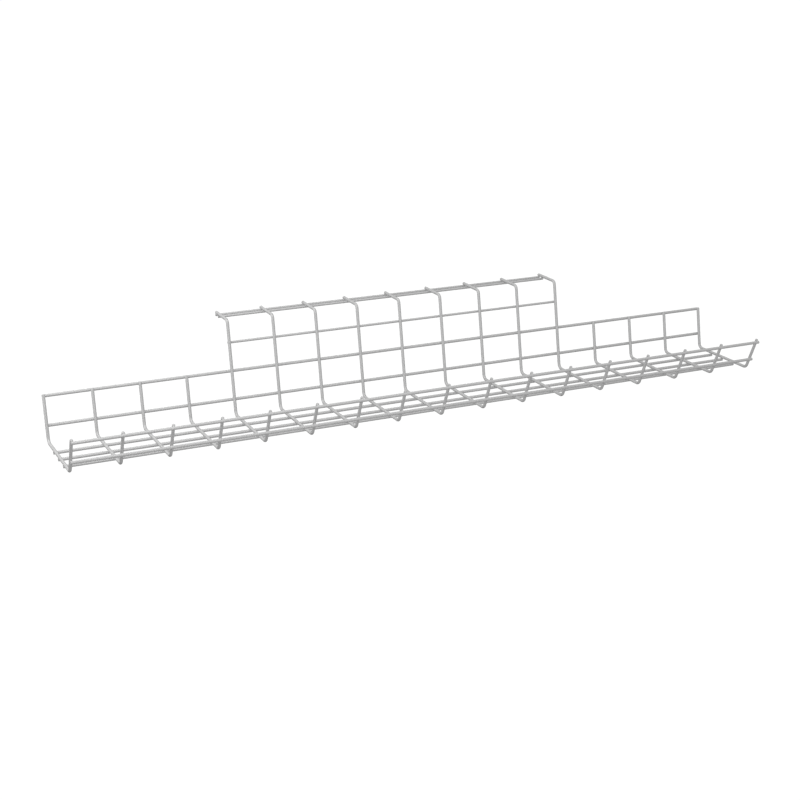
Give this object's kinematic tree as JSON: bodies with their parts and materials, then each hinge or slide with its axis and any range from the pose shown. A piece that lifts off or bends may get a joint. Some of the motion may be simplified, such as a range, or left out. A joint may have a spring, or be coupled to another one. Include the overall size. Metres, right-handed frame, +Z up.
{
  "type": "under-desk wire cable basket",
  "caption": "Welded wire mesh cable basket with a shallow trough, a leaning front lip and a raised hanger whose flat hooks lie under a desk top.",
  "frame": {"origin": "on the floor plane, under the middle of the basket's bounding box", "axes": "+X along the basket, to the right as seen from its front lip; +Y from the front lip to the back wall; +Z up, from the floor wires to the hanger's hooks"},
  "size_m": [1.205, 0.2492, 0.1605],
  "materials": {
    "wire_coat": "satin, light grey powder coat on steel wire"
  },
  "bodies": {
    "root": {"cross_wire_1": "wire_coat", "cross_wire_2": "wire_coat", "cross_wire_3": "wire_coat", "cross_wire_4": "wire_coat", "cross_wire_5": "wire_coat", "cross_wire_6": "wire_coat", "cross_wire_7": "wire_coat", "cross_wire_8": "wire_coat", "cross_wire_9": "wire_coat", "cross_wire_10": "wire_coat", "cross_wire_11": "wire_coat", "cross_wire_12": "wire_coat", "cross_wire_13": "wire_coat", "cross_wire_14": "wire_coat", "cross_wire_15": "wire_coat", "cross_wire_16": "wire_coat", "cross_wire_17": "wire_coat", "back_wire": "wire_coat", "back_rim_wire": "wire_coat", "hanger_wire": "wire_coat", "hook_wire_inner": "wire_coat", "hook_wire_outer": "wire_coat", "floor_wire_1": "wire_coat", "floor_wire_2": "wire_coat", "floor_wire_3": "wire_coat", "lip_wire": "wire_coat", "lip_rim_wire": "wire_coat"}
  },
  "joints": []
}
